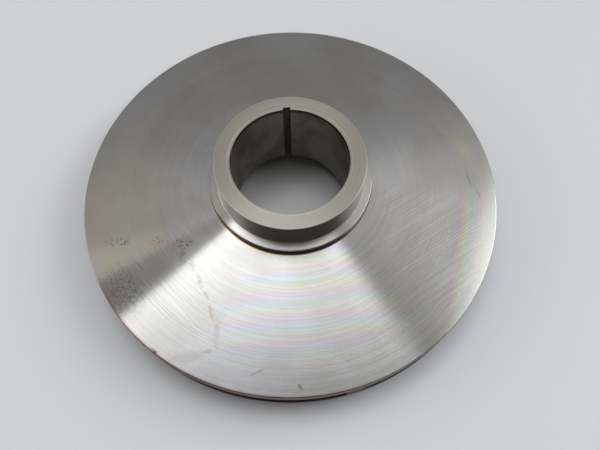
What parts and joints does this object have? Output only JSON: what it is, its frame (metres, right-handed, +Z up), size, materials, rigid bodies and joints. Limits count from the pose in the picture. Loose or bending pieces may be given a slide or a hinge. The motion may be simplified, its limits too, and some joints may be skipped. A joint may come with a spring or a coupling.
{
  "type": "closed pump impeller",
  "caption": "Closed centrifugal pump impeller of turned stainless steel, with backward-curved vanes between two shrouds, a stepped keyed hub and a wear ring.",
  "frame": {"origin": "centre of the shaft axis at the face of the suction eye that the impeller rests on", "axes": "+Z up along the shaft axis towards the hub, +Y towards the keyway"},
  "size_m": [0.36, 0.36, 0.0872],
  "materials": {
    "hub": "fine turned, lightly stained",
    "back_shroud": "fine turned, ring grooves, brown stains",
    "front_shroud": "fine turned",
    "wear_ring": "fine turned",
    "vanes": "dull, as cast"
  },
  "bodies": {
    "root": {"hub": "hub", "back_shroud": "back_shroud", "front_shroud": "front_shroud", "suction_neck": "front_shroud", "wear_ring": "wear_ring", "vane_1": "vanes", "vane_2": "vanes", "vane_3": "vanes", "vane_4": "vanes", "vane_5": "vanes", "vane_6": "vanes", "vane_7": "vanes", "vane_8": "vanes"}
  },
  "joints": []
}
